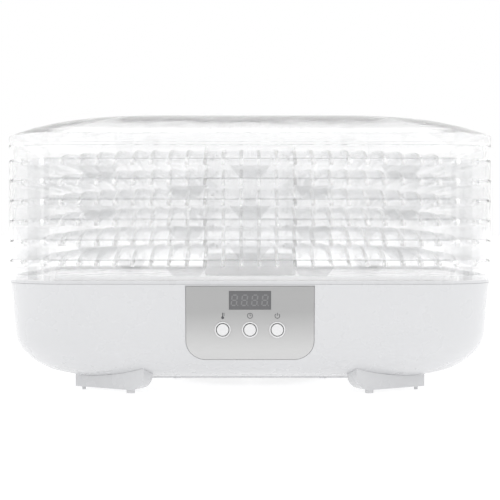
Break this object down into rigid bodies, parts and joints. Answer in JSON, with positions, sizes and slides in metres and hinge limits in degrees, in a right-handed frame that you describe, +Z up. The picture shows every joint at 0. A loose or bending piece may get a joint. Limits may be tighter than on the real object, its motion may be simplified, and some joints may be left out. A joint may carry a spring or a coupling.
{
  "type": "food dehydrator",
  "caption": "Worktop food dehydrator: white powered base with a control panel, a stack of clear ribbed trays that lift off, and a clear domed lid.",
  "frame": {"origin": "on the table, under the centre of the body", "axes": "+Z up, the control panel faces -Y, +X to the right seen from the front"},
  "size_m": [0.37, 0.27, 0.2147],
  "materials": {
    "clear_plastic": "clear, glossy",
    "white_plastic": "glossy white",
    "white_button": "glossy white",
    "silver_panel": "satin silver",
    "display_tint": "dark, glossy",
    "black_plastic": "matt black",
    "grey_plastic": "matt grey",
    "circuit_board": "green solder mask",
    "rubber": "matt",
    "galvanised_steel": "galvanised",
    "steel": "bright zinc",
    "copper": "enamelled copper wire",
    "heating_wire": "dull resistance wire",
    "mica": "layered mica sheet",
    "component_tan": "moulded"
  },
  "bodies": {
    "base": {"base_shell": "white_plastic", "bottom_cover": "white_plastic", "bracket_screws": "steel", "control_board": "circuit_board", "control_board_screws": "steel", "control_panel": "silver_panel", "cord_gland": "rubber", "cover_screws": "steel", "deck_screws": "steel", "display_module": "black_plastic", "display_window": "display_tint", "fan_duct": "galvanised_steel", "filter_capacitor": "component_tan", "foot_blocks": "white_plastic", "foot_pads": "rubber", "heat_shield": "galvanised_steel", "heater_coil": "heating_wire", "heater_frame": "mica", "motor_bearing_lower": "steel", "motor_bearing_upper": "steel", "motor_bracket": "galvanised_steel", "motor_can": "galvanised_steel", "motor_end_plate": "black_plastic", "outlet_grille": "white_plastic", "power_board": "circuit_board", "power_board_screws": "steel", "power_button_bezel": "white_button", "power_switch": "black_plastic", "relay": "black_plastic", "stator_core": "galvanised_steel", "stator_windings": "copper", "temp_button_bezel": "white_button", "temp_sensor": "component_tan", "temp_switch": "black_plastic", "terminal_block": "component_tan", "thermal_fuse": "component_tan", "thermostat": "grey_plastic", "time_button_bezel": "white_button", "time_switch": "black_plastic", "top_deck": "white_plastic", "transformer": "grey_plastic"},
    "fan": {"fan_impeller": "grey_plastic", "motor_shaft": "steel", "motor_rotor": "steel", "fan_clip": "steel"},
    "temp_button": {"temp_button": "white_button"},
    "time_button": {"time_button": "white_button"},
    "power_button": {"power_button": "white_button"},
    "tray_1": {"tray_1": "clear_plastic"},
    "tray_2": {"tray_2": "clear_plastic"},
    "tray_3": {"tray_3": "clear_plastic"},
    "tray_4": {"tray_4": "clear_plastic"},
    "tray_5": {"tray_5": "clear_plastic"},
    "tray_6": {"tray_6": "clear_plastic"},
    "lid": {"lid": "clear_plastic", "lid_tabs": "clear_plastic"}
  },
  "joints": [
    {"name": "fan_spin", "type": "hinge", "parent": "base", "child": "fan", "pos_m": [0, 0, 0.05], "axis": [0, 0, 1], "continuous": true},
    {"name": "temp_button_press", "type": "slide", "parent": "base", "child": "temp_button", "axis": [0, 1, 0], "range_m": [0, 0.0012], "stiffness_N_per_m": 800},
    {"name": "time_button_press", "type": "slide", "parent": "base", "child": "time_button", "axis": [0, 1, 0], "range_m": [0, 0.0012], "stiffness_N_per_m": 800},
    {"name": "power_button_press", "type": "slide", "parent": "base", "child": "power_button", "axis": [0, 1, 0], "range_m": [0, 0.0012], "stiffness_N_per_m": 800},
    {"name": "tray_1_lift", "type": "slide", "parent": "base", "child": "tray_1", "axis": [0, 0, 1], "range_m": [0, 0.05]},
    {"name": "tray_2_lift", "type": "slide", "parent": "tray_1", "child": "tray_2", "axis": [0, 0, 1], "range_m": [0, 0.05]},
    {"name": "tray_3_lift", "type": "slide", "parent": "tray_2", "child": "tray_3", "axis": [0, 0, 1], "range_m": [0, 0.05]},
    {"name": "tray_4_lift", "type": "slide", "parent": "tray_3", "child": "tray_4", "axis": [0, 0, 1], "range_m": [0, 0.05]},
    {"name": "tray_5_lift", "type": "slide", "parent": "tray_4", "child": "tray_5", "axis": [0, 0, 1], "range_m": [0, 0.05]},
    {"name": "tray_6_lift", "type": "slide", "parent": "tray_5", "child": "tray_6", "axis": [0, 0, 1], "range_m": [0, 0.05]},
    {"name": "lid_lift", "type": "slide", "parent": "tray_6", "child": "lid", "axis": [0, 0, 1], "range_m": [0, 0.08]}
  ]
}
